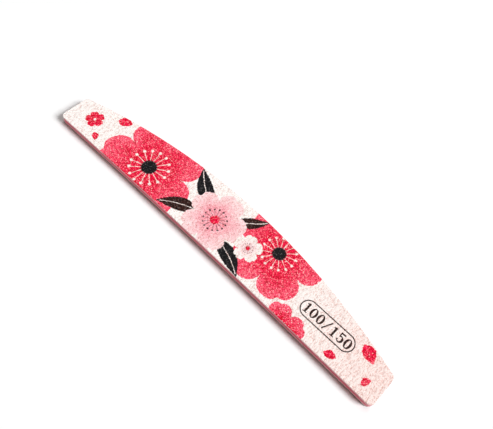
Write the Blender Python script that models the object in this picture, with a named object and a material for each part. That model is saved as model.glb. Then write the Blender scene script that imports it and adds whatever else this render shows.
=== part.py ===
"""A half-moon nail file, built as the stack of sheets that it is laminated from.

A stiff plastic board lies in the middle. A foam pad is glued to each of its faces, and a sheet
of abrasive paper to each pad. The top sheet carries the print, and the bottom sheet is plain
grey. The whole stack is stamped out in one stroke, so every sheet has the same outline: square
ends with rounded corners, a crowned long edge at +Y and a slightly hollow one at -Y.

Units are metres. The file lies flat with its length along X, and its underside is at Z = 0.
"""

import math

import bpy
from mathutils import Vector

# Driving dimensions of the outline
file_length = 0.178
file_width = 0.0284
tip_width = 0.0146
edge_hollow = 0.0009
corner_radius = 0.0023

# Driving thicknesses of the sheets
core_thickness = 0.0013
foam_thickness = 0.00077
adhesive_thickness = 0.00008
paper_thickness = 0.00022
grit_thickness = 0.0002

# Straight facets in each rounded stretch of half the outline
crown_steps = 24
hollow_steps = 8
corner_steps = 8

# Colours as a screen shows them, from 0 to 255
screen_white = 255
crimson = (196, 62, 96)
foam_pink = (240, 178, 186)
clear_amber = (236, 222, 196)
paper_white = (240, 238, 232)
print_cream = (250, 233, 228)
zebra_grey = (214, 214, 213)

collection_name = "nail_file"


def remove_old_objects():
    """Clear whatever the scene held before."""
    for old in list(bpy.data.objects):
        bpy.data.objects.remove(old, do_unlink=True)


def linear_channel(level):
    """Turn one screen level into the linear value that a material takes."""
    share = level / screen_white
    if share <= 0.04045:
        return share / 12.92
    return ((share + 0.055) / 1.055) ** 2.4


def make_material(name, screen_colour, roughness):
    """Make a plain, non-metallic Principled material."""
    material = bpy.data.materials.new(name)
    material.use_nodes = True
    shader = material.node_tree.nodes["Principled BSDF"]
    red, green, blue = (linear_channel(level) for level in screen_colour)
    shader.inputs["Base Color"].default_value = (red, green, blue, 1.0)
    shader.inputs["Roughness"].default_value = roughness
    shader.inputs["Metallic"].default_value = 0.0
    return material


def arc(centre, radius, start_angle, end_angle, steps):
    """Points along an arc, both ends included."""
    points = []
    for step in range(steps + 1):
        angle = start_angle + (end_angle - start_angle) * step / steps
        points.append(centre + radius * Vector((math.cos(angle), math.sin(angle))))
    return points


def half_outline():
    """The outline's right half, from the middle of the hollow edge round to the crown.

    The hollow edge is an arc that touches both lower corner arcs and rises by edge_hollow in
    the middle. The crowned edge is an arc whose ends, drawn on past the upper corner arcs,
    would meet the square ends at tip_width.
    """
    half_length = file_length / 2
    corner_x = half_length - corner_radius
    upright = math.pi / 2

    lower_corner = Vector((corner_x, corner_radius))
    hollow_radius = (corner_x ** 2 + edge_hollow ** 2) / (2 * edge_hollow) - corner_radius
    hollow_centre = Vector((0.0, edge_hollow - hollow_radius))
    to_lower_corner = lower_corner - hollow_centre
    hollow_end = math.atan2(to_lower_corner.y, to_lower_corner.x)

    crown_rise = file_width - tip_width
    crown_radius = (half_length ** 2 + crown_rise ** 2) / (2 * crown_rise)
    crown_centre = Vector((0.0, file_width - crown_radius))
    corner_reach = math.sqrt((crown_radius - corner_radius) ** 2 - corner_x ** 2)
    upper_corner = Vector((corner_x, crown_centre.y + corner_reach))
    crown_end = math.atan2(corner_reach, corner_x)

    hollow = arc(hollow_centre, hollow_radius, upright, hollow_end, hollow_steps)
    lower_round = arc(lower_corner, corner_radius, hollow_end - math.pi, 0.0, corner_steps)
    upper_round = arc(upper_corner, corner_radius, 0.0, crown_end, corner_steps)
    crown = arc(crown_centre, crown_radius, crown_end, upright, crown_steps)
    return hollow[:-1] + lower_round + upper_round[:-1] + crown


def stamped_outline():
    """The whole outline, counter-clockwise: the right half and its mirror image."""
    right = half_outline()
    left = [Vector((-point.x, point.y)) for point in reversed(right[1:-1])]
    return right + left


def add_sheet(name, outline, underside, thickness, material, collection):
    """Add one stamped sheet of the stack, as a filled flat curve with thickness."""
    curve = bpy.data.curves.new(name, type="CURVE")
    curve.dimensions = "2D"
    curve.fill_mode = "BOTH"
    curve.extrude = thickness / 2
    curve.render_resolution_u = 0
    spline = curve.splines.new("POLY")
    spline.points.add(len(outline) - 1)
    for spline_point, corner in zip(spline.points, outline):
        spline_point.co = (corner.x, corner.y, 0.0, 1.0)
    spline.use_cyclic_u = True
    curve.materials.append(material)

    sheet = bpy.data.objects.new(name, curve)
    sheet.location = (0.0, -file_width / 2, underside + thickness / 2)
    collection.objects.link(sheet)
    return sheet


def build_nail_file():
    """Stack the sheets from the underside up, each lying face to face on the last."""
    remove_old_objects()
    collection = bpy.data.collections.new(collection_name)
    bpy.context.scene.collection.children.link(collection)

    core_plastic = make_material("core_plastic", crimson, 0.38)
    foam = make_material("foam", foam_pink, 0.85)
    adhesive = make_material("adhesive", clear_amber, 0.30)
    backing_paper = make_material("backing_paper", paper_white, 0.80)
    printed_grit = make_material("printed_grit", print_cream, 0.70)
    grey_grit = make_material("grey_grit", zebra_grey, 0.65)

    stack = [
        ("lower_grit_coat", grit_thickness, grey_grit),
        ("lower_paper_backing", paper_thickness, backing_paper),
        ("lower_paper_adhesive", adhesive_thickness, adhesive),
        ("lower_foam_pad", foam_thickness, foam),
        ("lower_core_adhesive", adhesive_thickness, adhesive),
        ("core_board", core_thickness, core_plastic),
        ("upper_core_adhesive", adhesive_thickness, adhesive),
        ("upper_foam_pad", foam_thickness, foam),
        ("upper_paper_adhesive", adhesive_thickness, adhesive),
        ("upper_paper_backing", paper_thickness, backing_paper),
        ("upper_grit_coat", grit_thickness, printed_grit),
    ]
    outline = stamped_outline()
    underside = 0.0
    for name, thickness, material in stack:
        add_sheet(name, outline, underside, thickness, material, collection)
        underside += thickness
    print("sheets:", len(stack), "thickness in mm:", round(underside * 1000, 3))


build_nail_file()
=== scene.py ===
# %% [markdown]
# A half-moon nail file is a sandwich: a plastic board, a foam pad on each side of it, and a sheet
# of abrasive paper on each pad, all glued and then stamped out in one stroke. This lesson dresses
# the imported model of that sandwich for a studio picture. It begins by loading the model, which
# says where every sheet lies. The file lies along X with its underside at Z = 0.

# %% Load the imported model
import math

import bmesh
import bpy
from mathutils import Matrix, Vector, noise


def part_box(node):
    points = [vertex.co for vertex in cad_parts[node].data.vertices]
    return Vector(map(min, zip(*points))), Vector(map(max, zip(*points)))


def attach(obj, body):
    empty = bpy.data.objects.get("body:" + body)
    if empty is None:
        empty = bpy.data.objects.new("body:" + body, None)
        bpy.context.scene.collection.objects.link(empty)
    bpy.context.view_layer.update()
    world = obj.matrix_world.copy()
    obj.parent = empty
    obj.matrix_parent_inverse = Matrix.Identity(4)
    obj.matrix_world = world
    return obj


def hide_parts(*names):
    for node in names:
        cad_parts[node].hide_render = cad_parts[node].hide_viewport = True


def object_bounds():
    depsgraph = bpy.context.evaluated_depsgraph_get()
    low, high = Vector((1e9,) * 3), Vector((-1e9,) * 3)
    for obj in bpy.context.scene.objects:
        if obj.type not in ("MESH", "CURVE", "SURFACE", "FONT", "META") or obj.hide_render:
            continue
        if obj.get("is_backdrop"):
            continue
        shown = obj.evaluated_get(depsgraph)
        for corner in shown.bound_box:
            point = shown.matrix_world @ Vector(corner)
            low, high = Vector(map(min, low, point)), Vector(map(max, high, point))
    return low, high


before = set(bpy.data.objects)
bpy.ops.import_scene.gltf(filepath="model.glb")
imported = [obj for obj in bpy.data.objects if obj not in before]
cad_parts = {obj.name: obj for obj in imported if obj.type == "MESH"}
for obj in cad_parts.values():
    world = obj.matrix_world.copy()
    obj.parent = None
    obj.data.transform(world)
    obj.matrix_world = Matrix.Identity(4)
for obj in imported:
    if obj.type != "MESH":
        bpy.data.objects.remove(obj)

cad_low, cad_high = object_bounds()
mm = 0.001
half_length = cad_high.x
half_width = cad_high.y
print("sheets:", sorted(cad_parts))
print("length and width in mm:", round(2 * half_length / mm, 2), round(2 * half_width / mm, 2))

# %% [markdown]
# Every sheet has the same outline, because one knife cuts them all. A long hollow edge and a
# crowned one are arcs of two large circles, and four small arcs round the corners. The outline
# could be traced as a list of points, but arcs with fixed centres are easier to work with: to
# draw the outline in by some amount, only their radii change.

# %% The outline as arcs
tip_width = 14.6 * mm
edge_hollow = 0.9 * mm
corner_radius = 2.3 * mm

corner_x = half_length - corner_radius
lower_corner_y = corner_radius - half_width
hollow_radius = (corner_x ** 2 + edge_hollow ** 2) / (2 * edge_hollow) - corner_radius
hollow_centre_y = edge_hollow - half_width - hollow_radius
crown_rise = 2 * half_width - tip_width
crown_radius = (half_length ** 2 + crown_rise ** 2) / (2 * crown_rise)
crown_centre_y = half_width - crown_radius
corner_reach = math.sqrt((crown_radius - corner_radius) ** 2 - corner_x ** 2)
upper_corner_y = crown_centre_y + corner_reach
print("crown and hollow radii in mm:", round(crown_radius / mm), round(hollow_radius / mm))

# %% [markdown]
# Two questions come up for every sheet: where is the point at some share of the length and of
# the width, and which way is straight outwards there? The nearest point of a mesh could answer
# them, but arcs answer exactly and at once. The places are spread evenly along the edge, round
# the corners too, so that the faces made from them are all of about the same size.

# %% Points and directions on the outline


def hollow_edge_y(reach, inset):
    """Height in plan of the hollow edge at a distance from the middle, with its corner round."""
    corner = corner_radius - inset
    radius = hollow_radius + inset
    if reach > corner_x * radius / (hollow_radius + corner_radius):
        return lower_corner_y - math.sqrt(max(corner ** 2 - (reach - corner_x) ** 2, 0.0))
    return hollow_centre_y + math.sqrt(radius ** 2 - reach ** 2)


def crowned_edge_y(reach, inset):
    """Height in plan of the crowned edge at a distance from the middle, with its corner round."""
    corner = corner_radius - inset
    radius = crown_radius - inset
    if reach > corner_x * radius / (crown_radius - corner_radius):
        return upper_corner_y + math.sqrt(max(corner ** 2 - (reach - corner_x) ** 2, 0.0))
    return crown_centre_y + math.sqrt(radius ** 2 - reach ** 2)


def file_point(along, across, inset):
    """The point at -1 to 1 of the length and 0 to 1 of the width, in an outline drawn in."""
    corner = corner_radius - inset
    travelled = abs(along) * (corner_x + corner * math.pi / 2)
    reach = travelled
    if travelled > corner_x:
        reach = corner_x + corner * math.sin((travelled - corner_x) / corner)
    low = hollow_edge_y(reach, inset)
    high = crowned_edge_y(reach, inset)
    return Vector((math.copysign(reach, along), low + (high - low) * across, 0.0))


def outward(point):
    """The level direction that leads straight out of the outline from a point near its edge."""
    side = math.copysign(1.0, point.x)
    past_corner = abs(point.x) - corner_x
    above_corner = point.y - upper_corner_y
    if past_corner > 0 and point.y < lower_corner_y:
        way = Vector((side * past_corner, point.y - lower_corner_y, 0.0))
    elif past_corner > 0 and 0 < above_corner < past_corner * corner_reach / corner_x:
        way = Vector((side * past_corner, above_corner, 0.0))
    elif past_corner > 0 and above_corner <= 0:
        way = Vector((side, 0.0, 0.0))
    elif point.y < (lower_corner_y + upper_corner_y) / 2:
        way = Vector((-point.x, hollow_centre_y - point.y, 0.0))
    else:
        way = Vector((point.x, point.y - crown_centre_y, 0.0))
    return way.normalized()


crown_top = file_point(0.0, 1.0, 0.0)
print("top of the crown in mm:", [round(value / mm, 2) for value in crown_top])

# %% [markdown]
# The abrasive is a coat of grains in clear resin. It dries into short worm-like ridges that run
# across the file, about a third of a millimetre wide, with grooves between them. Bump mapping
# could fake them, but they catch the light from every side and break up the cut edge, so they are
# real relief here. A ridge is where a noise that is stretched across the file is high. A slower
# noise bends the ridges so that they wander, and a fine one adds the grains.

# %% The relief of the abrasive
ridge_width = 0.31 * mm
ridge_length = 1.10 * mm
drift_size = 1.6 * mm
grain_size = 0.30 * mm
drift_strength = 1.4
ridge_level = 0.55
ridge_contrast = 2.4
ridge_height_share = 0.70
grain_height_share = 0.30
printed_seed = 3.0
grey_seed = 11.0


def ridge_share(x, y, seed):
    """How high the coat stands at a point, from 0 in a groove to 1 on a ridge."""
    drift = noise.noise(Vector((x / drift_size, y / drift_size, seed)))
    place = Vector((x / ridge_width + drift_strength * drift, y / ridge_length, seed + 0.5))
    ridge = min(max(ridge_level + ridge_contrast * noise.noise(place), 0.0), 1.0)
    rounded_ridge = ridge * ridge * (3.0 - 2.0 * ridge)
    grain = 0.5 + noise.noise(Vector((x / grain_size, y / grain_size, -seed)))
    share = ridge_height_share * rounded_ridge + grain_height_share * grain
    return min(max(share, 0.0), 1.0)


samples = [ridge_share(step * ridge_width, 0.0, printed_seed) for step in range(200)]
print("mean height of the relief, as a share:", round(sum(samples) / len(samples), 2))

# %% [markdown]
# Any sheet can be grown from one ring of edges: extrude the ring a little, put the new ring in its
# place, and go on. Solidify or a bevel would be quicker to write, but here each ring follows a
# rule of its own, so a cut edge can roll over, draw in or be pitted. The second tool turns the
# finished bmesh into an object that is shaded smooth and keeps its sharp corners.

# %% Tools that grow a sheet ring by ring


def step_ring(bm, edges, move):
    """Extrude a ring of edges once, put each new vertex where move says and give the new ring."""
    extruded = bmesh.ops.extrude_edge_only(bm, edges=edges)["geom"]
    for part in extruded:
        if isinstance(part, bmesh.types.BMVert):
            part.co = move(part.co)
    return [part for part in extruded if isinstance(part, bmesh.types.BMEdge) and part.is_boundary]


def finish_piece(bm, name, sharp_degrees):
    """Turn a bmesh into a smooth-shaded object in the scene."""
    bmesh.ops.recalc_face_normals(bm, faces=bm.faces[:])
    mesh = bpy.data.meshes.new(name)
    bm.to_mesh(mesh)
    bm.free()
    mesh.shade_smooth()
    mesh.set_sharp_from_angle(angle=math.radians(sharp_degrees))
    piece = bpy.data.objects.new(name, mesh)
    bpy.context.scene.collection.objects.link(piece)
    triangles = sum(len(polygon.vertices) - 2 for polygon in mesh.polygons)
    print(name, "triangles:", triangles)
    return piece


print("tools made: step_ring, finish_piece")

# %% [markdown]
# Each grit coat starts as a flat grid that is pulled to the outline, a little inside it. The
# grid's rim is then extruded outwards in small steps that roll over the edge, as the stamping
# knife leaves it, and down to the paper, and one face closes the bottom. A displaced plane would
# be simpler, but it would have no cut edge. A number called rim is kept on every vertex, so that
# the finish can tell the cut edge from the face.

# %% Build the grit coats
coat_columns = 1150
coat_rows = 76
coat_sharp_degrees = 60
rim_width = 0.30 * mm
printed_flat_share = 0.3
grey_flat_share = 0.05
# Each step outwards as a share of the rim's width, and the share of the height rolled off by then
rim_shares = ((0.40, 0.05), (0.35, 0.20), (0.25, 0.50))


def mark_ring(ring, layer, value):
    """Write a value on every vertex of a ring of edges."""
    for edge in ring:
        for vertex in edge.verts:
            vertex[layer] = value


def grit_coat(name, node_name, glued_z, flat_share, seed):
    """A grit coat whose relief faces away from the plane that it is glued to."""
    low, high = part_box(node_name)
    thickness = high.z - low.z
    if glued_z > low.z:
        thickness = -thickness

    def surface(point, roll):
        share = flat_share + (1.0 - flat_share) * ridge_share(point.x, point.y, seed)
        return Vector((point.x, point.y, glued_z + thickness * share * (1.0 - roll)))

    bm = bmesh.new()
    rim = bm.verts.layers.float.new("rim")
    bmesh.ops.create_grid(bm, x_segments=coat_columns, y_segments=coat_rows, size=1.0)
    for vertex in bm.verts:
        place = file_point(vertex.co.x, (vertex.co.y + 1.0) / 2, rim_width)
        vertex.co = surface(place, 0.0)
    ring = [edge for edge in bm.edges if edge.is_boundary]
    last_roll = rim_shares[-1][1]
    for width_share, roll in rim_shares:
        step = rim_width * width_share
        ring = step_ring(bm, ring, lambda point: surface(point + outward(point) * step, roll))
        mark_ring(ring, rim, roll / last_roll)
    ring = step_ring(bm, ring, lambda point: Vector((point.x, point.y, glued_z)))
    mark_ring(ring, rim, 1.0)
    bmesh.ops.edgeloop_fill(bm, edges=ring)
    return finish_piece(bm, name, coat_sharp_degrees)


upper_glued_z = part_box("upper_paper_backing")[1].z
lower_glued_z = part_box("lower_paper_backing")[0].z
printed_face = grit_coat(
    "printed_grit_face", "upper_grit_coat", upper_glued_z, printed_flat_share, printed_seed
)
grey_face = grit_coat(
    "grey_grit_face", "lower_grit_coat", lower_glued_z, grey_flat_share, grey_seed
)

# %% [markdown]
# The sheets inside show only their cut edges. Fine grids on their faces would be wasted, so the
# edges are modelled and each hidden face is one flat face. A circle's points are moved onto the
# outline, its ring of edges is extruded upwards row by row, and then each vertex is set back by
# what its material does under the knife.

# %% A sheet with a modelled cut edge
edge_sharp_degrees = 40


def outline_places(spacing):
    """Places at an even spacing all round the outline."""
    columns = round(2 * half_length / spacing)
    rows = round(tip_width / spacing)
    lower = [file_point(2 * i / columns - 1, 0.0, 0.0) for i in range(columns)]
    right = [file_point(1.0, i / rows, 0.0) for i in range(rows)]
    upper = [file_point(1 - 2 * i / columns, 1.0, 0.0) for i in range(columns)]
    left = [file_point(-1.0, 1 - i / rows, 0.0) for i in range(rows)]
    return lower + right + upper + left


def cut_sheet(name, node_name, spacing, rows, setback):
    """A sheet whose wall is set back by setback(share of its height, point on the outline)."""
    low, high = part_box(node_name)
    places = outline_places(spacing)
    bm = bmesh.new()
    bmesh.ops.create_circle(bm, cap_ends=True, segments=len(places), radius=1.0)
    for vertex, place in zip(bm.verts, places):
        vertex.co = Vector((place.x, place.y, low.z))
    ring = bm.edges[:]
    for row in range(1, rows + 1):
        level = low.z + (high.z - low.z) * row / rows
        ring = step_ring(bm, ring, lambda point: Vector((point.x, point.y, level)))
    bmesh.ops.edgeloop_fill(bm, edges=ring)
    for vertex in bm.verts:
        share = (vertex.co.z - low.z) / (high.z - low.z)
        vertex.co -= outward(vertex.co) * max(setback(share, vertex.co), 0.0)
    return finish_piece(bm, name, edge_sharp_degrees)


print("places round the outline, one to each mm:", len(outline_places(mm)))

# %% [markdown]
# Foam is full of closed cells, and the knife cuts through them and leaves little pits. Between
# two stiff sheets its edge also draws in slightly at mid-height. A bevel gives a clean round and
# no pits, so both are written as a distance by which the edge is set back.

# %% Foam pads
foam_spacing = 0.13 * mm
foam_rows = 7
foam_inset = 0.03 * mm
foam_draw_in = 0.06 * mm
cell_size = 0.14 * mm
cell_depth = 0.03 * mm
wave_size = 12 * cell_size
wave_depth = 0.02 * mm


def foam_setback(share, point):
    """The foam's edge: drawn in at mid-height and pitted by cut cells."""
    drawn_in = foam_draw_in * math.sin(math.pi * share)
    pit = noise.noise(point / cell_size)
    wave = noise.noise(point / wave_size)
    return foam_inset + drawn_in + cell_depth * pit + wave_depth * wave


upper_foam = cut_sheet("upper_foam_edge", "upper_foam_pad", foam_spacing, foam_rows, foam_setback)
lower_foam = cut_sheet("lower_foam_edge", "lower_foam_pad", foam_spacing, foam_rows, foam_setback)

# %% [markdown]
# The core is stiff plastic. The knife shears it cleanly, with faint upright score marks and a
# slight round at its two corners. A bevel could round them, but a formula for the setback gives
# the rounds and the marks in one go, on every row of the wall.

# %% Core board
core_spacing = 0.2 * mm
core_rows = 8
core_inset = 0.02 * mm
core_corner_round = 0.06 * mm
core_corner_sharpness = 6
score_size = 0.5 * mm
score_depth = 0.012 * mm
score_seed = 4.0


def core_setback(share, point):
    """The core's edge: nearly upright, rounded at both corners and faintly scored."""
    to_corner = 2 * abs(share - 0.5)
    rounding = core_corner_round * to_corner ** core_corner_sharpness
    score = noise.noise(Vector((point.x / score_size, point.y / score_size, score_seed)))
    return core_inset + rounding + score_depth * score


core = cut_sheet("core_board_edge", "core_board", core_spacing, core_rows, core_setback)

# %% [markdown]
# The backing papers are stiff and fibrous, so their cut edge is slightly ragged. A straight edge
# with a ragged picture on it would do from afar, but this edge is the pale line that outlines the
# whole file, so its own raggedness is modelled.

# %% Backing papers
paper_spacing = 0.15 * mm
paper_rows = 2
paper_inset = 0.025 * mm
fibre_size = 0.16 * mm
fibre_depth = 0.02 * mm


def paper_setback(share, point):
    """The paper's edge: a ragged line of fibres."""
    return paper_inset + fibre_depth * noise.noise(point / fibre_size)


upper_paper = cut_sheet(
    "upper_paper_edge", "upper_paper_backing", paper_spacing, paper_rows, paper_setback
)
lower_paper = cut_sheet(
    "lower_paper_edge", "lower_paper_backing", paper_spacing, paper_rows, paper_setback
)

# %% [markdown]
# A material is a small network of nodes. It could be drawn by hand in the editor, but a script
# can be read and built again. Line by line such a script is long, so three helpers come first:
# one adds a node and feeds it, one does arithmetic and one blends colours. Colours are written as
# a screen shows them, from 0 to 255, and turned into linear light.

# %% Helpers that add nodes
screen_white = 255


def screen(red, green, blue):
    """A colour as a screen shows it, 0 to 255, as the linear values that a shader takes."""
    channels = []
    for level in (red, green, blue):
        share = level / screen_white
        channels.append(share / 12.92 if share <= 0.04045 else ((share + 0.055) / 1.055) ** 2.4)
    return (*channels, 1.0)


def wire(tree, kind, inputs=(), **settings):
    """Add a node, set its options, and feed its sockets with values or other nodes' sockets."""
    made = tree.nodes.new(kind)
    for setting, value in settings.items():
        setattr(made, setting, value)
    for socket, value in dict(inputs).items():
        if isinstance(value, bpy.types.NodeSocket):
            tree.links.new(value, made.inputs[socket])
        else:
            made.inputs[socket].default_value = value
    return made


def calc(tree, operation, *values, clamp=False):
    """One step of arithmetic on sockets and numbers, as the socket of its answer."""
    numbers = dict(enumerate(values))
    return wire(tree, "ShaderNodeMath", numbers, operation=operation, use_clamp=clamp).outputs[0]


def blend(tree, share, first, second, way="MIX"):
    """A colour part of the way from the first to the second."""
    inputs = {0: share, 6: first, 7: second}
    return wire(tree, "ShaderNodeMix", inputs, data_type="RGBA", blend_type=way).outputs[2]


print("middle grey in linear light:", round(screen(128, 128, 128)[0], 3))

# %% [markdown]
# Most finishes come down to masks: numbers that are 1 where something is, 0 where it isn't, and
# in between where it fades. Colour ramps with their handles could make them too, but a limit and
# a fade in plain numbers say at once where a mask begins and how soft it is. The noise, the axes
# and the distance are what the masks are worked out from.

# %% Helpers for masks


def between(tree, share, low, high):
    """The number that lies at a share of the way from low to high."""
    return calc(tree, "MULTIPLY_ADD", share, high - low, low)


def under(tree, value, limit, fade):
    """0 where a value is over its limit, 1 where it is under it by more than the fade."""
    room = calc(tree, "SUBTRACT", limit, value)
    return calc(tree, "DIVIDE", room, fade, clamp=True)


def ramp(tree, value, start, stop):
    """0 where the value is at start, 1 where it is at stop, and smooth between."""
    inputs = {"Value": value, "From Min": start, "From Max": stop}
    return wire(tree, "ShaderNodeMapRange", inputs, interpolation_type="SMOOTHSTEP").outputs[0]


def lumps(tree, place, scale, detail):
    """Soft noise, as the outputs of its node: Fac for a number and Color for three."""
    inputs = {"Vector": place, "Scale": scale, "Detail": detail}
    return wire(tree, "ShaderNodeTexNoise", inputs).outputs


def axes(tree, place):
    """A point's X, Y and Z."""
    return wire(tree, "ShaderNodeSeparateXYZ", {0: place}).outputs


def distance(tree, x, y):
    """How far a point in plan lies from the middle."""
    squares = calc(tree, "ADD", calc(tree, "POWER", x, 2.0), calc(tree, "POWER", y, 2.0))
    return calc(tree, "SQRT", squares)


print("helpers made: between, under, ramp, lumps, axes, distance")

# %% [markdown]
# A node group is to a material what a function is to a script: a network with named inputs and
# outputs, built once and used with other values each time. Copying its nodes into every material
# would work as well, but a change would then have to be made in each of them.

# %% Helpers for groups and materials


def start_group(name, inputs, outputs):
    """A new shader node group, with its input and output sockets by name."""
    tree = bpy.data.node_groups.new(name, "ShaderNodeTree")
    for socket_name, value in inputs.items():
        kind = "NodeSocketFloat"
        if isinstance(value, tuple):
            kind = "NodeSocketColor" if len(value) == 4 else "NodeSocketVector"
        socket = tree.interface.new_socket(name=socket_name, in_out="INPUT", socket_type=kind)
        socket.default_value = value
    for socket_name, kind in outputs.items():
        tree.interface.new_socket(name=socket_name, in_out="OUTPUT", socket_type=kind)
    ins = tree.nodes.new("NodeGroupInput").outputs
    outs = tree.nodes.new("NodeGroupOutput").inputs
    return tree, ins, outs


def use_group(tree, group, inputs):
    """Place a node group in a network with its own values, and give its outputs."""
    return wire(tree, "ShaderNodeGroup", inputs, node_tree=group).outputs


def start_material(name):
    """A new material, with its network, its Principled shader and the point on the object."""
    material = bpy.data.materials.new(name)
    material.use_nodes = True
    tree = material.node_tree
    shader = tree.nodes["Principled BSDF"]
    place = tree.nodes.new("ShaderNodeTexCoord").outputs["Object"]
    return material, tree, shader, place


def feed_shader(tree, shader, colour, roughness):
    """Lead a colour and a roughness to the Principled shader."""
    tree.links.new(colour, shader.inputs["Base Color"])
    tree.links.new(roughness, shader.inputs["Roughness"])


def add_bump(tree, shader, height, strength, depth, sunk=False):
    """Let a fine height tilt the light on the surface; sunk turns hills into pits."""
    inputs = {"Strength": strength, "Distance": depth, "Height": height}
    bump = wire(tree, "ShaderNodeBump", inputs, invert=sunk)
    tree.links.new(bump.outputs[0], shader.inputs["Normal"])


print("helpers made: start_group, use_group, start_material, feed_shader, add_bump")

# %% [markdown]
# Three effects come back in several materials, so each is a node group that is built once. Specks
# are bare grains or cut foam cells. An uneven tint mixes two tints of one colour in soft lumps,
# because no dyed sheet is quite even. Streaks are noise drawn out along one direction, as a
# knife's scores and the fibres of paper are. Pictures could stand for all three, but they would
# have seams where they repeat.

# %% Groups for specks, uneven tints and streaks
white = (1.0, 1.0, 1.0, 1.0)
origin = (0.0, 0.0, 0.0)
# The level of noise above which there are specks, with an amount of 0 and with an amount of 1
speck_levels = (0.8, 0.4)
speck_contrast = 12.0


def specks_group():
    """Scattered specks of a given size; a larger amount gives more of them."""
    inputs = {"Place": origin, "Size": mm, "Amount": 0.5}
    tree, ins, outs = start_group("specks", inputs, {"Mask": "NodeSocketFloat"})
    scale = calc(tree, "DIVIDE", 1.0, ins["Size"])
    field = lumps(tree, ins["Place"], scale, 1.0)["Fac"]
    excess = calc(tree, "SUBTRACT", field, between(tree, ins["Amount"], *speck_levels))
    tree.links.new(calc(tree, "MULTIPLY", excess, speck_contrast, clamp=True), outs["Mask"])
    return tree


def tint_group():
    """Two tints of one colour mixed in soft lumps, and the share of the second one."""
    inputs = {"Place": origin, "Size": mm, "First": white, "Second": white}
    outputs = {"Color": "NodeSocketColor", "Mask": "NodeSocketFloat"}
    tree, ins, outs = start_group("uneven_tint", inputs, outputs)
    scale = calc(tree, "DIVIDE", 1.0, ins["Size"])
    patches = lumps(tree, ins["Place"], scale, 2.0)["Fac"]
    tree.links.new(blend(tree, patches, ins["First"], ins["Second"]), outs["Color"])
    tree.links.new(patches, outs["Mask"])
    return tree


def streaks_group():
    """Noise drawn out along the directions whose stretch is small."""
    inputs = {"Place": origin, "Stretch": (1.0, 1.0, 0.1), "Size": mm, "Detail": 3.0}
    tree, ins, outs = start_group("streaks", inputs, {"Mask": "NodeSocketFloat"})
    drawn = wire(tree, "ShaderNodeMapping", {0: ins["Place"], "Scale": ins["Stretch"]}).outputs[0]
    scale = calc(tree, "DIVIDE", 1.0, ins["Size"])
    tree.links.new(lumps(tree, drawn, scale, ins["Detail"])["Fac"], outs["Mask"])
    return tree


specks = specks_group()
uneven_tint = tint_group()
streaks = streaks_group()
print("node groups:", [group.name for group in (specks, uneven_tint, streaks)])

# %% [markdown]
# Under a lens the abrasive is grains, crests and valleys. Voronoi cells stand for the single
# grains, and each cell has a tone of its own. The height of the relief is simply the Z of the
# point, so the material knows crest from valley without any picture, and lays paler paint on the
# crests and a painted shade in the valleys. A fine mottle and the tones are added to it, or the
# finish would look like a map of heights.

# %% Grains, crests and valleys
grain_width = 0.28 * mm
mottle_size = 0.18 * mm
mottle_stretch = (1.0, 0.35, 1.0)
mottle_strength = 1.6
grain_strength = 0.6
# Where a crest or a valley begins and where it is full, as shares of the height of the relief
crest_shares = (0.80, 1.28)
valley_shares = (0.66, 0.20)


def grain_cells(tree, place):
    """The tone of the grain at a point, from -0.5 to 0.5, and the distance to its middle."""
    inputs = {"Vector": place, "Scale": 1.0 / grain_width}
    cells = wire(tree, "ShaderNodeTexVoronoi", inputs).outputs
    tone = wire(tree, "ShaderNodeSeparateColor", {0: cells["Color"]}).outputs["Red"]
    return calc(tree, "SUBTRACT", tone, 0.5), cells["Distance"]


def crests_and_valleys(tree, ins, tone):
    """Masks of what stands high in the relief and of what lies low."""
    z = axes(tree, ins["Place"])["Z"]
    heights = {"Value": z, "From Min": ins["Valley Z"], "From Max": ins["Crest Z"]}
    level = wire(tree, "ShaderNodeMapRange", heights).outputs[0]
    fine = {"Place": ins["Place"], "Stretch": mottle_stretch, "Size": mottle_size, "Detail": 1.0}
    mottle = calc(tree, "SUBTRACT", use_group(tree, streaks, fine)["Mask"], 0.5)
    level = calc(tree, "MULTIPLY_ADD", mottle, mottle_strength, level)
    level = calc(tree, "MULTIPLY_ADD", tone, grain_strength, level)
    return ramp(tree, level, *crest_shares), ramp(tree, level, *valley_shares)


print("grains to each mm:", round(mm / grain_width, 1))

# %% [markdown]
# The print lies under the clear coat. The crests are painted paler, partly for the white grains
# and worn ink there and partly as a painted highlight, and the valleys are painted darker as
# shade. Where a grain sits low the ink shows deeper still, the more so the more vivid it is.
# Mixing in black would do that too, but it would turn crimson into brown. Raising the colour to a
# power makes it purer as it gets darker.

# %% Ink seen through the coat, with painted shade in the valleys and paler crests
crest_highlight_and_wear_white = screen(255, 252, 248)
# How strongly the painted valley shade shows on plain ink and on vivid ink
valley_shade_shares = (0.80, 0.55)
low_grain_gamma = 1.85
vivid_tone = 0.55


def lit_ink(tree, ins, crest, valley, saturation, lightness):
    """The ink with a painted shade in the valleys and crests painted paler, partly as a highlight.
    """
    # Crests painted paler: partly worn ink and white grains, partly a painted highlight
    crest_highlight_and_wear = calc(tree, "MULTIPLY", ins["Crest Highlight And Wear"], lightness)
    lifted = blend(tree, calc(tree, "MULTIPLY", crest, crest_highlight_and_wear), ins["Ink"], crest_highlight_and_wear_white)
    # Painted shade: the Valley tint multiplies the ink where the relief lies low
    depth = calc(tree, "MULTIPLY", valley, between(tree, saturation, *valley_shade_shares))
    sunk = blend(tree, 1.0, ins["Ink"], ins["Valley"], "MULTIPLY")
    return blend(tree, depth, lifted, sunk)


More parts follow.
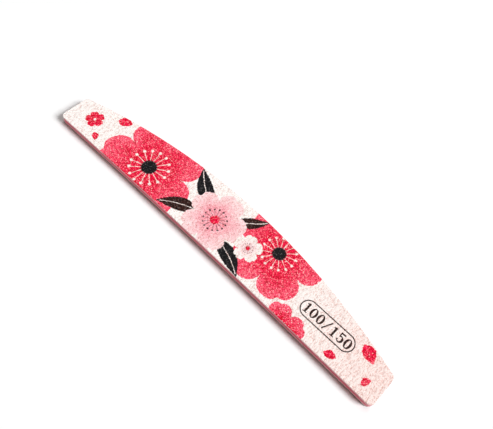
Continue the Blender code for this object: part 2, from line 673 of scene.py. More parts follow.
def toned_grains(tree, ins, coat, tone, saturation):
    """The coat with every grain a little lighter or darker, and the low ones deeper in colour."""
    low_grain = calc(tree, "MAXIMUM", calc(tree, "MULTIPLY", tone, -2.0), 0.0)
    vivid_low_grain = calc(tree, "MULTIPLY", low_grain, saturation)
    deepening = between(tree, vivid_low_grain, 1.0, low_grain_gamma)
    deeper = wire(tree, "ShaderNodeGamma", {"Color": coat, "Gamma": deepening}).outputs[0]
    vividness = calc(tree, "POWER", saturation, 2.0)
    tone_strength = calc(tree, "MULTIPLY_ADD", vividness, vivid_tone, ins["Grain Tone"])
    inputs = {0: deeper, "Scale": calc(tree, "MULTIPLY_ADD", tone, tone_strength, 1.0)}
    return wire(tree, "ShaderNodeVectorMath", inputs, operation="SCALE").outputs[0]


print("valleys on plain and on vivid ink:", valley_shade_shares)

# %% [markdown]
# Here and there a grain that would turn a flat side to the light is painted white, as a painted
# glint, and along the cut rim dark grains are laid bare. Both faces could have a network each,
# but one group serves both, with values of their own.

# %% A group for grit in resin
glint_white = screen(252, 244, 240)
glint_tone = 0.40
# How strongly a painted glint shows in a valley and on a crest
glint_shares = (0.30, 0.70)
# How much of the painted crest highlight and glints black ink keeps
dark_ink_highlight_share = 0.15
bare_grain = screen(86, 74, 70)
bare_grain_size = 0.22 * mm
bare_grain_share = 0.80
middle_roughness = 0.34
roughness_spread = 0.30
grain_step = 0.5


def grit_group():
    """Turn the print's colour into the grit's colour, with its painted shade and highlights,
    roughness and fine height.
    """
    tree, ins, outs = start_group(
        "grit_in_resin",
        {
            "Place": origin,
            "Ink": white,
            # Valley is the tint of the painted shade in the valleys
            "Valley": white,
            "Valley Z": 0.0,
            "Crest Z": 1.0,
            "Crest Highlight And Wear": 0.1,
            "Rim": 0.0,
            "Bare": 0.6,
            "Grain Tone": 0.16,
        },
        {"Color": "NodeSocketColor", "Roughness": "NodeSocketFloat", "Height": "NodeSocketFloat"},
    )
    tone, from_middle = grain_cells(tree, ins["Place"])
    crest, valley = crests_and_valleys(tree, ins, tone)
    # In this mode the outputs called Green and Blue give the saturation and the value
    ink_parts = wire(tree, "ShaderNodeSeparateColor", {0: ins["Ink"]}, mode="HSV").outputs
    saturation = ink_parts["Green"]
    lightness = between(tree, ink_parts["Blue"], dark_ink_highlight_share, 1.0)

    coat = lit_ink(tree, ins, crest, valley, saturation, lightness)
    coat = toned_grains(tree, ins, coat, tone, saturation)
    # Painted glints: grains of high tone are painted white as highlights
    glint = calc(tree, "MULTIPLY", calc(tree, "GREATER_THAN", tone, glint_tone), lightness)
    glint = calc(tree, "MULTIPLY", glint, between(tree, crest, *glint_shares))
    coat = blend(tree, glint, coat, glint_white)
    loose = {"Place": ins["Place"], "Size": bare_grain_size, "Amount": ins["Bare"]}
    bare = calc(tree, "MULTIPLY", use_group(tree, specks, loose)["Mask"], ins["Rim"])
    coat = blend(tree, calc(tree, "MULTIPLY", bare, bare_grain_share), coat, bare_grain)
    tree.links.new(coat, outs["Color"])

    roughness = calc(tree, "MULTIPLY_ADD", tone, roughness_spread, middle_roughness)
    tree.links.new(roughness, outs["Roughness"])
    dome = calc(tree, "MULTIPLY", from_middle, -1.0)
    tree.links.new(calc(tree, "MULTIPLY_ADD", tone, grain_step, dome), outs["Height"])
    return tree


grit_in_resin = grit_group()
print("nodes in the grit group:", len(grit_in_resin.nodes))

# %% [markdown]
# The print is ink, so it is drawn in the material and not in the mesh. Every motif is a small
# formula: a blossom is a disc whose radius swells and shrinks with the angle, and a leaf is the
# space between two arcs. A formula stays sharp at any distance, where a picture would blur. Each
# motif works in axes of its own, so one group can be laid down anywhere and at any turn.

# %% The own axes of a motif
motif_inputs = {"Place": origin, "X": 0.0, "Y": 0.0, "Turn": 0.0}
ink_soft_edge = 0.06 * mm


def local_place(tree, ins):
    """The point relative to a motif's centre, in its own turned axes."""
    centre = wire(tree, "ShaderNodeCombineXYZ", {0: ins["X"], 1: ins["Y"]}).outputs[0]
    moved = wire(tree, "ShaderNodeVectorMath", {0: ins["Place"], 1: centre}, operation="SUBTRACT")
    back = calc(tree, "MULTIPLY", ins["Turn"], -1.0)
    turned = wire(tree, "ShaderNodeVectorRotate", {0: moved.outputs[0], "Angle": back})
    parts = axes(tree, turned.outputs[0])
    return parts["X"], parts["Y"]


print("soft edge of the ink in mm:", round(ink_soft_edge / mm, 2))

# %% [markdown]
# A printed blossom has five notched petals, darker seams between them, a round heart and a ring
# of stamens. Each could be drawn as a curve and laid on the face, but as masks over one angle and
# one distance they need no points at all, and the petals know how far out they reach, which the
# wash of colour needs.

# %% A group for blossoms
petal_count = 5
stamen_count = 15
# Shares of the blossom's radius
waist_share = 0.60
notch_depth_share = 0.07
seam_share = 0.05
heart_share = 0.16
heart_fade_share = 0.025
thread_share = 0.010
thread_fade_share = 0.0083
stamen_share = 0.36
tip_share = 0.035
tip_fade_share = 0.0125
# The notch's share of half a petal's angle
notch_width_share = 0.22
petal_squareness = 2.4


def stamens(tree, turn, reach):
    """Threads that lead out from the heart, each with a round tip."""
    spoke = calc(tree, "FRACT", calc(tree, "MULTIPLY", turn, stamen_count))
    off_spoke = calc(tree, "ABSOLUTE", calc(tree, "SUBTRACT", spoke, 0.5))
    off_spoke = calc(tree, "MULTIPLY", off_spoke, reach)
    off_spoke = calc(tree, "MULTIPLY", off_spoke, 2 * math.pi / stamen_count)
    to_tip = distance(tree, off_spoke, calc(tree, "SUBTRACT", reach, stamen_share))
    tip = under(tree, to_tip, tip_share, tip_fade_share)
    thread = under(tree, off_spoke, thread_share, thread_fade_share)
    thread = calc(tree, "MULTIPLY", thread, calc(tree, "LESS_THAN", reach, stamen_share))
    return calc(tree, "MAXIMUM", tip, thread)


def blossom_group():
    """A five-petalled blossom: its petals, how far out a point lies, seams, heart and stamens."""
    names = ("Petals", "Share", "Seam", "Heart", "Stamens")
    outputs = {name: "NodeSocketFloat" for name in names}
    tree, ins, outs = start_group("blossom", {**motif_inputs, "Radius": mm}, outputs)
    x, y = local_place(tree, ins)
    reach = calc(tree, "DIVIDE", distance(tree, x, y), ins["Radius"])
    turn = calc(tree, "DIVIDE", calc(tree, "ARCTAN2", y, x), 2 * math.pi)
    within = calc(tree, "FRACT", calc(tree, "MULTIPLY", turn, petal_count))
    from_middle = calc(tree, "ABSOLUTE", calc(tree, "MULTIPLY_ADD", within, 2.0, -1.0))

    flank = calc(tree, "POWER", from_middle, petal_squareness)
    rounded = calc(tree, "SQRT", calc(tree, "SUBTRACT", 1.0, flank))
    notch = under(tree, from_middle, notch_width_share, notch_width_share)
    edge = between(tree, rounded, waist_share, 1.0)
    edge = calc(tree, "SUBTRACT", edge, calc(tree, "MULTIPLY", notch, notch_depth_share))
    outside = calc(tree, "MULTIPLY", calc(tree, "SUBTRACT", reach, edge), ins["Radius"])
    tree.links.new(under(tree, outside, 0.0, ink_soft_edge), outs["Petals"])
    tree.links.new(calc(tree, "DIVIDE", reach, edge, clamp=True), outs["Share"])

    seam_gap = calc(tree, "MULTIPLY", calc(tree, "SUBTRACT", 1.0, from_middle), reach)
    tree.links.new(under(tree, seam_gap, seam_share, seam_share), outs["Seam"])
    tree.links.new(under(tree, reach, heart_share, heart_fade_share), outs["Heart"])
    tree.links.new(stamens(tree, turn, reach), outs["Stamens"])
    return tree


blossom = blossom_group()
print("nodes in the blossom group:", len(blossom.nodes))

# %% [markdown]
# A leaf is pointed at both ends and widest on the stem's side of its middle, with a pale rib
# along it. The same shape, shorter and in crimson, serves for the loose petals. A bend adds life:
# it bows the middle line, which is easier to do in a formula than with a curve's handles.

# %% A group for leaves
rib_half_width = 0.16 * mm
rib_length_share = 0.86
stem_lean_share = 0.25


def leaf_group():
    """A leaf between two arcs, with its rib; Bend curves it sideways."""
    inputs = {**motif_inputs, "Length": mm, "Width": mm, "Bend": 0.0}
    outputs = {"Blade": "NodeSocketFloat", "Rib": "NodeSocketFloat"}
    tree, ins, outs = start_group("leaf", inputs, outputs)
    x, y = local_place(tree, ins)
    along = calc(tree, "DIVIDE", calc(tree, "MULTIPLY", x, 2.0), ins["Length"])
    along = calc(tree, "MAXIMUM", calc(tree, "MINIMUM", along, 1.0), -1.0)
    along_squared = calc(tree, "POWER", along, 2.0)
    bow = calc(tree, "MULTIPLY", along_squared, ins["Bend"])
    across = calc(tree, "ABSOLUTE", calc(tree, "ADD", y, bow))

    swell = calc(tree, "SUBTRACT", 1.0, along_squared)
    leaning = calc(tree, "MULTIPLY_ADD", along, -stem_lean_share, 1.0)
    width_here = calc(tree, "MULTIPLY", calc(tree, "MULTIPLY", swell, leaning), ins["Width"])
    half_blade = calc(tree, "MULTIPLY", width_here, 0.5)
    tree.links.new(under(tree, across, half_blade, ink_soft_edge), outs["Blade"])
    rib = under(tree, across, rib_half_width, ink_soft_edge)
    near_middle = calc(tree, "LESS_THAN", calc(tree, "ABSOLUTE", along), rib_length_share)
    tree.links.new(calc(tree, "MULTIPLY", rib, near_middle), outs["Rib"])
    return tree


leaf = leaf_group()
print("nodes in the leaf group:", len(leaf.nodes))

# %% [markdown]
# The numbers give the two grits. A font could set them, but plain numerals made of bars and rings
# need no font file and can take the proportions of a book face: a nought is an upright ellipse
# with a narrower one taken out of it, which gives it thick sides and thin ends. A five is a bar, a
# stem and a ring that is cut open at its upper left.

# %% Groups for bars and rings


def inked(tree, outside):
    """The ink of a stroke, from how far a point lies outside it; less than zero is inside."""
    return under(tree, outside, ink_soft_edge / 2, ink_soft_edge)


def bar_group():
    """A straight stroke."""
    inputs = {**motif_inputs, "Long": mm, "Thick": mm}
    tree, ins, outs = start_group("ink_bar", inputs, {"Mask": "NodeSocketFloat"})
    x, y = local_place(tree, ins)
    half_long = calc(tree, "MULTIPLY", ins["Long"], 0.5)
    half_thick = calc(tree, "MULTIPLY", ins["Thick"], 0.5)
    past_end = calc(tree, "SUBTRACT", calc(tree, "ABSOLUTE", x), half_long)
    past_side = calc(tree, "SUBTRACT", calc(tree, "ABSOLUTE", y), half_thick)
    tree.links.new(inked(tree, calc(tree, "MAXIMUM", past_end, past_side)), outs["Mask"])
    return tree


def oval_gap(tree, x, y, wide, high):
    """Roughly how far a point lies outside an upright ellipse; less than zero inside."""
    half_wide = calc(tree, "MULTIPLY", wide, 0.5)
    half_high = calc(tree, "MULTIPLY", high, 0.5)
    across = calc(tree, "DIVIDE", x, half_wide)
    up = calc(tree, "DIVIDE", y, half_high)
    beyond = calc(tree, "SUBTRACT", distance(tree, across, up), 1.0)
    return calc(tree, "MULTIPLY", beyond, calc(tree, "MINIMUM", half_wide, half_high))


def ring_group():
    """An oval ring, open where a point is both left of Cut and above Cut Low."""
    sizes = {name: mm for name in ("Wide", "High", "Inner Wide", "Inner High", "Cut", "Cut Low")}
    tree, ins, outs = start_group("ink_ring", {**motif_inputs, **sizes}, {"Mask": "NodeSocketFloat"})
    x, y = local_place(tree, ins)
    outer = oval_gap(tree, x, y, ins["Wide"], ins["High"])
    inner = oval_gap(tree, x, y, ins["Inner Wide"], ins["Inner High"])
    outside = calc(tree, "MAXIMUM", outer, calc(tree, "MULTIPLY", inner, -1.0))
    left_of_cut = calc(tree, "SUBTRACT", ins["Cut"], x)
    above_cut = calc(tree, "SUBTRACT", y, ins["Cut Low"])
    opening = calc(tree, "MINIMUM", left_of_cut, above_cut)
    tree.links.new(inked(tree, calc(tree, "MAXIMUM", outside, opening)), outs["Mask"])
    return tree


ink_bar = bar_group()
ink_ring = ring_group()
print("stroke groups:", ink_bar.name, ink_ring.name)

# %% [markdown]
# Each numeral is a short list of strokes, measured from its own middle. The strokes could be
# written in millimetres, but as shares of the numeral's height one height sets them all.

# %% The shapes of the numerals
bar_sockets = ("X", "Y", "Long", "Thick")
ring_sockets = ("X", "Y", "Wide", "High", "Inner Wide", "Inner High", "Cut", "Cut Low")
# Each stroke gives the shares for the sockets above, and a bar ends with its turn in radians
numeral_shares = {
    "0": {"rings": [(0.0, 0.0, 0.69, 1.0, 0.26, 0.79, -1.0, 0.0)], "bars": []},
    "1": {
        "rings": [],
        "bars": [
            (0.02, 0.0, 0.98, 0.20, math.pi / 2),
            (0.02, -0.455, 0.46, 0.09, 0.0),
            (-0.09, 0.38, 0.24, 0.12, 0.55),
        ],
    },
    "5": {
        "rings": [(0.0, -0.16, 0.66, 0.68, 0.24, 0.46, -0.08, -0.22)],
        "bars": [
            (0.05, 0.42, 0.46, 0.16, 0.0),
            (-0.15, 0.26, 0.46, 0.11, math.pi / 2),
            (-0.08, 0.09, 0.16, 0.10, 0.35),
            (-0.20, -0.29, 0.15, 0.16, 0.0),
        ],
    },
    "/": {"rings": [], "bars": [(0.0, 0.0, 1.22, 0.12, 1.12)]},
}
for numeral, strokes in numeral_shares.items():
    print(numeral, "rings:", len(strokes["rings"]), "bars:", len(strokes["bars"]))

# %% [markdown]
# The numbers stand in a drawn capsule near the right-hand end. The capsule could be two bars and
# two half rings, but it is simpler as one rule: its line is every point at the same distance from
# a short level line.

# %% The grit numbers in their capsule
grit_numbers = "100/150"
numeral_height = 4.35 * mm
numeral_pitch = 3.32 * mm
numbers_x = 58.8 * mm
numbers_y = -2.45 * mm
capsule_length = 25.2 * mm
capsule_height = 7.05 * mm
capsule_line = 0.49 * mm


def stroke_mask(tree, place, group, sockets, shares, middle_x, turn=0.0):
    """One stroke of a numeral, with its shares of the numeral's height turned into lengths."""
    lengths = {socket: share * numeral_height for socket, share in zip(sockets, shares)}
    lengths["X"] += middle_x
    lengths["Y"] += numbers_y
    return use_group(tree, group, {"Place": place, "Turn": turn, **lengths})["Mask"]


def capsule_mask(tree, place):
    """The line of the capsule."""
    parts = axes(tree, place)
    half_straight = (capsule_length - capsule_height) / 2
    off_middle = calc(tree, "ABSOLUTE", calc(tree, "SUBTRACT", parts["X"], numbers_x))
    past_straight = calc(tree, "MAXIMUM", calc(tree, "SUBTRACT", off_middle, half_straight), 0.0)
    up = calc(tree, "SUBTRACT", parts["Y"], numbers_y)
    off_line = calc(tree, "SUBTRACT", distance(tree, past_straight, up), capsule_height / 2)
    off_line = calc(tree, "ABSOLUTE", off_line)
    return inked(tree, calc(tree, "SUBTRACT", off_line, capsule_line / 2))


def numbers_mask(tree, place):
    """The mask of the grit numbers and of the capsule drawn round them."""
    mask = capsule_mask(tree, place)
    for position, numeral in enumerate(grit_numbers):
        middle_x = numbers_x + (position - (len(grit_numbers) - 1) / 2) * numeral_pitch
        for *shares, turn in numeral_shares[numeral]["bars"]:
            stroke = stroke_mask(tree, place, ink_bar, bar_sockets, shares, middle_x, turn)
            mask = calc(tree, "MAXIMUM", mask, stroke)
        for shares in numeral_shares[numeral]["rings"]:
            stroke = stroke_mask(tree, place, ink_ring, ring_sockets, shares, middle_x)
            mask = calc(tree, "MAXIMUM", mask, stroke)
    return mask


print("grit numbers:", grit_numbers, "height in mm:", round(numeral_height / mm, 2))

# %% [markdown]
# The design is a plain garland of blossoms, leaves and loose petals, in crimson, rose, pale pink,
# black and dark brown on a ground that turns from ivory to peach. It could be one long formula,
# but tables of motifs are easier to change: each row is one motif with its place, its size and
# its inks, in the order in which they are printed.

# %% The inks and the garland
ink_cream = screen(254, 242, 237)
ink_ivory = screen(254, 250, 247)
ink_peach = screen(252, 230, 225)
ink_crimson = screen(236, 0, 68)
ink_rose = screen(254, 92, 121)
ink_pale = screen(255, 222, 224)
ink_blush = screen(252, 172, 184)
ink_black = screen(8, 7, 13)
ink_brown = screen(50, 18, 10)
ink_numbers = screen(54, 28, 21)
ink_white = screen(252, 249, 245)

# Inks of a blossom, from the middle of its petals to their edge, then its heart and its stamens
crimson_inks = (ink_crimson, ink_rose, ink_black, ink_cream)
pale_inks = (ink_blush, ink_pale, ink_crimson, ink_brown)
white_inks = (ink_pale, ink_white, ink_crimson, ink_brown)
tip_inks = (ink_crimson, ink_crimson, ink_cream, ink_crimson)

# Blossoms: x, y and radius in mm, turn in radians, inks
back_blossoms = (
    (-41.0, -4.0, 24.0, 0.35, crimson_inks),
    (26.0, 6.5, 20.0, 1.00, crimson_inks),
    (46.0, -17.5, 11.0, 0.20, crimson_inks),
)
front_blossoms = (
    (-3.0, -1.5, 14.0, 0.9, pale_inks),
    (15.5, -1.0, 6.2, 0.1, white_inks),
    (-77.0, -4.6, 4.4, 0.6, tip_inks),
)
# Leaves and loose petals: x, y, length, width and bend in mm, turn in radians, ink and rib's ink
leaves = (
    (-17.0, 6.5, 20.0, 7.0, 1.2, 2.55, ink_black, ink_cream),
    (-19.0, -7.0, 19.0, 6.5, -1.2, 3.65, ink_brown, ink_cream),
    (12.5, -9.0, 19.0, 6.5, 1.2, -0.35, ink_black, ink_cream),
    (9.0, 8.5, 15.0, 5.0, -0.8, 0.75, ink_brown, ink_cream),
)
loose_petals = (
    (-66.5, 4.6, 7.0, 5.2, 0.4, 0.45, ink_crimson, ink_rose),
    (-69.5, -10.3, 4.4, 2.9, 0.4, -0.6, ink_crimson, ink_rose),
    (77.0, 0.6, 8.0, 5.4, 0.4, -0.5, ink_crimson, ink_rose),
    (66.5, -10.2, 5.4, 3.4, 0.4, 0.3, ink_crimson, ink_rose),
    (82.0, -8.5, 4.6, 3.0, 0.4, 1.1, ink_crimson, ink_rose),
)
print("blossoms:", len(back_blossoms + front_blossoms))
print("leaves and loose petals:", len(leaves + loose_petals))

# %% [markdown]
# Ink creeps between the grains, and no edge on such a rough sheet is clean. A softer edge would
# be the simple way, but creep is ragged and not soft. So the point that a motif reads is first
# shifted by a little noise. In a petal the colour runs from the heart outwards in a wash, with
# some cloud in it, as thin ink dries.

# %% Laying down one motif
wash_size = 6.0 * mm
wash_strength = 0.5
# Where the wash begins to change and where it has changed, as shares of the petal
wash_shares = (0.50, 1.30)
seam_depth_share = 0.75


def crept_place(tree, place, creep, size):
    """The point shifted by noise, as ink creeps between the grains."""
    shift = lumps(tree, place, 1.0 / size, 2.0)["Color"]
    no_shift = (0.5, 0.5, 0.5)
    centred = wire(tree, "ShaderNodeVectorMath", {0: shift, 1: no_shift}, operation="SUBTRACT")
    inputs = {0: centred.outputs[0], 1: (creep, creep, creep), 2: place}
    return wire(tree, "ShaderNodeVectorMath", inputs, operation="MULTIPLY_ADD").outputs[0]


def print_blossom(tree, printed, place, spot):
    """Lay one blossom over what is printed already."""
    x, y, radius, turn, (inner, outer, heart, stamen) = spot
    values = {"X": x * mm, "Y": y * mm, "Radius": radius * mm, "Turn": turn}
    parts = use_group(tree, blossom, {"Place": place, **values})
    cloud = lumps(tree, place, 1.0 / wash_size, 1.0)["Fac"]
    wash = calc(tree, "MULTIPLY_ADD", cloud, wash_strength, parts["Share"])
    petal = blend(tree, ramp(tree, wash, *wash_shares), inner, outer)
    petal = blend(tree, calc(tree, "MULTIPLY", parts["Seam"], seam_depth_share), petal, inner)
    petal = blend(tree, parts["Stamens"], petal, stamen)
    petal = blend(tree, parts["Heart"], petal, heart)
    return blend(tree, parts["Petals"], printed, petal)


def print_leaf(tree, printed, place, spot):
    """Lay one leaf or petal over what is printed already."""
    *lengths, turn, ink, rib_ink = spot
    sockets = ("X", "Y", "Length", "Width", "Bend")
    values = {socket: length * mm for socket, length in zip(sockets, lengths)}
    parts = use_group(tree, leaf, {"Place": place, "Turn": turn, **values})
    blade = blend(tree, parts["Rib"], ink, rib_ink)
    return blend(tree, parts["Blade"], printed, blade)


print("clouds in the wash, size in mm:", round(wash_size / mm, 1))

# %% [markdown]
# The print is laid down as a printer would, one ink over the other: the ground, the crimson
# blossoms, dark leaves, the pale blossoms in front, loose petals and the numbers last. Layers in
# a painting program would give the same, but here a layer is one line in a loop and stays easy to
# move. The numbers creep less than the garland, or they could not be read.

# %% The whole print
garland_creep = 0.9 * mm
garland_creep_size = 0.7 * mm
numbers_creep = 0.25 * mm
numbers_creep_size = 0.35 * mm
# Where the ground begins to turn to peach and where it has turned, as shares of half the length
ground_shares = (0.2, 1.1)


def printed_ink(tree, place):
    """The colour of the print at a point of the face."""
    crept = crept_place(tree, place, garland_creep, garland_creep_size)
    fine_crept = crept_place(tree, place, numbers_creep, numbers_creep_size)
    ground_start, ground_end = (share * half_length for share in ground_shares)
    towards_end = ramp(tree, axes(tree, place)["X"], ground_start, ground_end)
    ink = blend(tree, towards_end, ink_ivory, ink_peach)
    for spot in back_blossoms:
        ink = print_blossom(tree, ink, crept, spot)
    for spot in leaves:
        ink = print_leaf(tree, ink, crept, spot)
    for spot in front_blossoms:
        ink = print_blossom(tree, ink, crept, spot)
    for spot in loose_petals:
        ink = print_leaf(tree, ink, crept, spot)
    return blend(tree, numbers_mask(tree, fine_crept), ink, ink_numbers)


creeps = [round(creep / mm, 2) for creep in (garland_creep, numbers_creep)]
print("creep of the garland's ink and of the numbers' ink in mm:", creeps)

# %% [markdown]
# Both faces are grit in resin, the upper one over the print and the lower one over a plain pale
# grey. A painted picture of grit would look alike from everywhere, while these materials change
# with the relief beneath them, which also sets where their painted shade and paler crests lie. The
# grey side has its crests painted much paler, partly for its white grains and partly as a painted
# highlight, and more bare grains at its rim.

# %% Materials of the two faces
resin_gloss = 0.07
grain_bump = 0.05 * mm
grain_bump_strength = 0.8


def dress_grit(tree, shader, place, ink, values):
    """Feed a Principled shader with grit in resin over an ink colour."""
    rim = wire(tree, "ShaderNodeAttribute", attribute_name="rim").outputs["Fac"]
    inputs = {"Place": place, "Ink": ink, "Rim": rim, **values}
    grit = use_group(tree, grit_in_resin, inputs)
    feed_shader(tree, shader, grit["Color"], grit["Roughness"])
    add_bump(tree, shader, grit["Height"], grain_bump_strength, grain_bump)
    shader.inputs["Specular IOR Level"].default_value = resin_gloss


def printed_material():
    """Grit in clear resin over the print."""
    material, tree, shader, place = start_material("printed grit")
    values = {
        # Valley: the tint of the painted shade in the valleys
        "Valley": screen(224, 188, 180),
        "Valley Z": upper_glued_z,
        "Crest Z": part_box("upper_grit_coat")[1].z,
        "Crest Highlight And Wear": 0.05,
        "Bare": 0.62,
        "Grain Tone": 0.16,
    }
    dress_grit(tree, shader, place, printed_ink(tree, place), values)
    return material


def grey_material():
    """Pale grey grit in clear resin."""
    material, tree, shader, place = start_material("grey grit")
    values = {
        # Valley: the tint of the painted shade in the valleys
        "Valley": screen(150, 150, 151),
        "Valley Z": lower_glued_z,
        "Crest Z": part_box("lower_grit_coat")[0].z,
        "Crest Highlight And Wear": 1.00,
        "Bare": 1.0,
        "Grain Tone": 0.12,
    }
    dress_grit(tree, shader, place, screen(243, 243, 244), values)
    return material


printed_grit = printed_material()
grey_grit = grey_material()
print("nodes in the printed material:", len(printed_grit.node_tree.nodes))

# %% [markdown]
# The cut edge shows the inner sheets as thin bands. Foam is matt and pitted, and the core has a
# satin sheen and upright scores. One flat colour each would make them look like plastic tape, so
# the dye is uneven, the pits get a painted shade of deeper pink, and the scores are paler, as cut
# plastic is.

# %% Materials of the foam and the core
edge_bump_strength = 0.5

foam_tint_size = 3.0 * mm
light_pink = screen(252, 200, 208)
deep_pink = screen(246, 184, 194)
pit_shade_pink = screen(222, 136, 150)
pit_shade_share = 0.5
pit_size = 0.12 * mm
pit_amount = 0.75
pit_bump = 0.02 * mm
foam_roughness = (0.75, 0.90)

core_tint_size = 4.0 * mm
light_crimson = screen(230, 80, 114)
deep_crimson = screen(214, 64, 102)
scored_pink = screen(244, 128, 154)
scored_shares = (0.55, 0.80)
knife_mark_size = 0.10 * mm
knife_mark_stretch = (1.0, 1.0, 0.12)
knife_mark_bump = 0.015 * mm
core_roughness = (0.22, 0.57)


def foam_material():
    """Light pink foam with cut cells, whose pits get a painted shade."""
    material, tree, shader, place = start_material("pink foam")
    cells = {"Place": place, "Size": pit_size, "Amount": pit_amount}
    pits = use_group(tree, specks, cells)["Mask"]
    dye = {"Place": place, "Size": foam_tint_size, "First": light_pink, "Second": deep_pink}
    tint = use_group(tree, uneven_tint, dye)
    # Painted shade: the pits are tinted a deeper pink
    pit_shade = calc(tree, "MULTIPLY", pits, pit_shade_share)
    colour = blend(tree, pit_shade, tint["Color"], pit_shade_pink)
    feed_shader(tree, shader, colour, between(tree, tint["Mask"], *foam_roughness))
    add_bump(tree, shader, pits, edge_bump_strength, pit_bump, sunk=True)
    return material


def core_material():
    """Crimson plastic, sheared by the knife."""
    material, tree, shader, place = start_material("crimson board")
    knife = {"Place": place, "Stretch": knife_mark_stretch, "Size": knife_mark_size}
    score = use_group(tree, streaks, knife)["Mask"]
    dye = {"Place": place, "Size": core_tint_size, "First": light_crimson, "Second": deep_crimson}
    tint = use_group(tree, uneven_tint, dye)
    colour = blend(tree, ramp(tree, score, *scored_shares), tint["Color"], scored_pink)
    feed_shader(tree, shader, colour, between(tree, score, *core_roughness))
    add_bump(tree, shader, score, edge_bump_strength, knife_mark_bump)
    return material


pink_foam = foam_material()
crimson_board = core_material()
print("materials made:", pink_foam.name, "and", crimson_board.name)

# %% [markdown]
# The paper's edge is dull and fibrous, with a few grains that the knife has dragged into it. The
# glue is only a hairline, but a wet-looking one, glossier in some places than in others. Clear
# glass would be nearer to real glue, but at this width it would show nothing but noise.

# %% Materials of the paper and the glue
paper_white = screen(248, 240, 234)
paper_shade = screen(222, 210, 204)
pulp_size = 0.10 * mm
pulp_stretch = (0.5, 0.5, 2.0)
pulp_bump = 0.01 * mm
pulp_bump_strength = 0.4
dragged_grain = screen(140, 126, 120)
dragged_grain_share = 0.5
dragged_grain_size = 0.25 * mm
dragged_grain_amount = 0.55
paper_roughness = (0.75, 0.90)

clear_glue = screen(236, 196, 190)
dull_glue = screen(214, 168, 164)
glue_tint_size = 0.8 * mm
glue_roughness = (0.15, 0.55)


def paper_material():
    """Off-white backing paper with fibres and a few bare grains."""
    material, tree, shader, place = start_material("backing paper")
    pulp = {"Place": place, "Stretch": pulp_stretch, "Size": pulp_size}
    fibre = use_group(tree, streaks, pulp)["Mask"]
    colour = blend(tree, fibre, paper_white, paper_shade)
    dragged = {"Place": place, "Size": dragged_grain_size, "Amount": dragged_grain_amount}
    grains = use_group(tree, specks, dragged)["Mask"]
    darker = calc(tree, "MULTIPLY", grains, dragged_grain_share)
    colour = blend(tree, darker, colour, dragged_grain)
    feed_shader(tree, shader, colour, between(tree, fibre, *paper_roughness))
    add_bump(tree, shader, fibre, pulp_bump_strength, pulp_bump)
    return material


def glue_material():
    """A hairline of glue, glossy where it has squeezed out."""
    material, tree, shader, place = start_material("glue film")
    film = {"Place": place, "Size": glue_tint_size, "First": clear_glue, "Second": dull_glue}
    tint = use_group(tree, uneven_tint, film)
    feed_shader(tree, shader, tint["Color"], between(tree, tint["Mask"], *glue_roughness))
    return material


backing_paper = paper_material()
glue_film = glue_material()
print("materials made:", backing_paper.name, "and", glue_film.name)

# %% [markdown]
# Each modelled sheet now stands for its node of the imported model, rides on the file's one body
# and takes its material. The imported sheets could simply be hidden, but then nothing would say
# which piece stands for which sheet. The glue films are the right shape as they are, so they only
# get a better finish.

# %% Dress the pieces
dressed = (
    (printed_face, "upper_grit_coat", "printed_grit", printed_grit),
    (grey_face, "lower_grit_coat", "grey_grit", grey_grit),
    (upper_foam, "upper_foam_pad", "foam", pink_foam),
    (lower_foam, "lower_foam_pad", "foam", pink_foam),
    (core, "core_board", "core_plastic", crimson_board),
    (upper_paper, "upper_paper_backing", "backing_paper", backing_paper),
    (lower_paper, "lower_paper_backing", "backing_paper", backing_paper),
)
for piece, node_name, slot_name, material in dressed:
    piece.data.materials.append(material)
    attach(piece, "root")
    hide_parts(node_name)
for node_name, cad_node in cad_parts.items():
    if node_name.endswith("adhesive"):
        for material_slot in cad_node.material_slots:
            material_slot.material = glue_film
print("pieces dressed:", len(dressed))

# %% [markdown]
# The file was photographed lying on a white table that comes out as white paper and still shows
# the shadow. One white paint for all would do that, but it would throw so much light back that
# the cut edge looked washed out. So the plane is very nearly white where it is seen, straight or
# in a gloss, and duller for the light that bounces off it. Far out it fades into a plain white
# glow, so that no horizon shows.

# %% The floor
floor_size = 6.0
glow_start = 0.16
glow_full = 0.50
bounce_paint = (0.62, 0.60, 0.58, 1.0)
seen_paint = (0.985, 0.995, 1.0, 1.0)


def seen_share(tree):
    """1 for what is seen straight, in a gloss or through glass, and 0 for light that bounces."""
    rays = tree.nodes.new("ShaderNodeLightPath").outputs
    mirrored = calc(tree, "MAXIMUM", rays["Is Glossy Ray"], rays["Is Transmission Ray"])
    return calc(tree, "MAXIMUM", rays["Is Camera Ray"], mirrored)


def floor_material():
    """White paper that fades into a glow far from the file."""
    material, tree, shader, place = start_material("white floor")
    tree.nodes.remove(shader)
    seen = seen_share(tree)
    paint = blend(tree, seen, bounce_paint, seen_paint)
    paper = wire(tree, "ShaderNodeBsdfDiffuse", {"Color": paint}).outputs[0]
    glow = wire(tree, "ShaderNodeEmission", {"Color": white, "Strength": 1.0}).outputs[0]
    far_out = wire(tree, "ShaderNodeVectorMath", {0: place}, operation="LENGTH").outputs["Value"]
    far_seen = calc(tree, "MULTIPLY", ramp(tree, far_out, glow_start, glow_full), seen)
    surface = wire(tree, "ShaderNodeMixShader", {0: far_seen, 1: paper, 2: glow}).outputs[0]
    tree.links.new(surface, tree.nodes["Material Output"].inputs["Surface"])
    return material


bpy.ops.mesh.primitive_plane_add(size=floor_size, location=origin)
floor = bpy.context.object
floor.name = "floor"
floor.data.materials.append(floor_material())
floor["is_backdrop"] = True
print("floor in m:", floor_size, "glow from", glow_start, "to", glow_full)

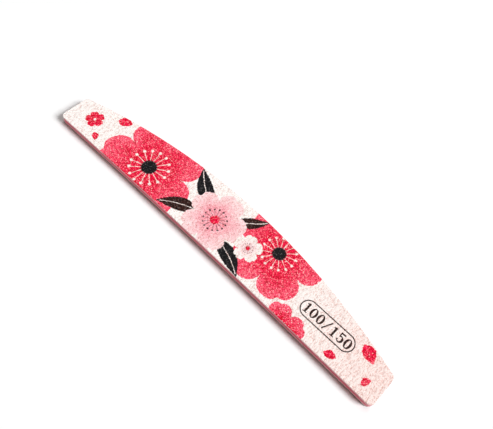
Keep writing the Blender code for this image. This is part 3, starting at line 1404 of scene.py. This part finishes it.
# %% [markdown]
# A large soft lamp hangs high and far beyond the right-hand end, a little behind the file, and
# gives the shadow along the near edge and round the left end. A larger but much weaker one, high
# up behind and a little to the left, lightens that shadow, as the walls of a white room do. A low
# card in front, weak and nearly level, keeps the near cut edge readable and hardly touches the
# shadow. The world is white where it is seen and gives next to no light, because light from all
# sides would wash the shadow out.

# %% World and lamps
world_light = 0.02
# Each lamp's place and size in metres, its power in watts and its colour
lamps = {
    "soft_box": ((6.85, 2.70, 6.05), 3.95, 1108.0, (1.0, 1.0, 1.0)),
    "back_box": ((-1.05, 3.20, 6.25), 4.90, 173.0, (1.0, 0.98, 0.95)),
    "near_card": ((-0.10, -0.80, 0.06), 0.12, 1.7, (1.0, 0.79, 0.73)),
}


def light_world():
    """A world that is white where it is seen and nearly dark as a light."""
    world = bpy.data.worlds.new("studio")
    world.use_nodes = True
    tree = world.node_tree
    backdrop = tree.nodes["Background"]
    backdrop.inputs["Color"].default_value = white
    strength = between(tree, seen_share(tree), world_light, 1.0)
    tree.links.new(strength, backdrop.inputs["Strength"])
    return world


def add_lamp(name, place, size, energy, colour):
    """A square soft lamp that looks at the middle of the file."""
    data = bpy.data.lights.new(name, "AREA")
    data.size = size
    data.energy = energy
    data.color = colour
    lamp = bpy.data.objects.new(name, data)
    bpy.context.scene.collection.objects.link(lamp)
    lamp.location = place
    lamp.rotation_euler = (-lamp.location).to_track_quat("-Z", "Y").to_euler()


bpy.context.scene.world = light_world()
for name, (place, size, energy, colour) in lamps.items():
    add_lamp(name, place, size, energy, colour)
print("lamps:", ", ".join(lamps))

# %% [markdown]
# The camera stands close, so the near end of the file looks clearly larger than the far one. A
# long lens from further off would flatten it. The place, aim and lens were worked out from the
# outline of the file in the picture, and the camera is tilted a little, as one held in the hand
# is.

# %% Camera
camera_place = Vector((66.0, -78.9, 192.6)) * mm
camera_aim = Vector((4.3, 9.9, 4.0)) * mm
camera_roll = math.radians(10.45)
photo_width = 493
focal_pixels = 520
sensor_width = 36.0
nearest_seen = 10 * mm

camera_data = bpy.data.cameras.new("camera")
camera_data.sensor_fit = "HORIZONTAL"
camera_data.sensor_width = sensor_width
camera_data.lens = sensor_width * focal_pixels / photo_width
camera_data.clip_start = nearest_seen
camera = bpy.data.objects.new("camera", camera_data)
bpy.context.scene.collection.objects.link(camera)
camera.location = camera_place
look = (camera_aim - camera_place).to_track_quat("-Z", "Y").to_matrix()
camera.rotation_euler = (look @ Matrix.Rotation(camera_roll, 3, "Z")).to_euler()
bpy.context.scene.camera = camera
bpy.context.scene.view_settings.view_transform = "Standard"
print("lens in mm:", round(camera_data.lens, 1))
print("distance in mm:", round((camera_aim - camera_place).length / mm))

# %% Sizes of the imported and the dressed model
new_low, new_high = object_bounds()
boxes = {"cad": [list(cad_low), list(cad_high)], "visual": [list(new_low), list(new_high)]}
for label, corners in boxes.items():
    print(label, [[round(value / mm, 3) for value in corner] for corner in corners])
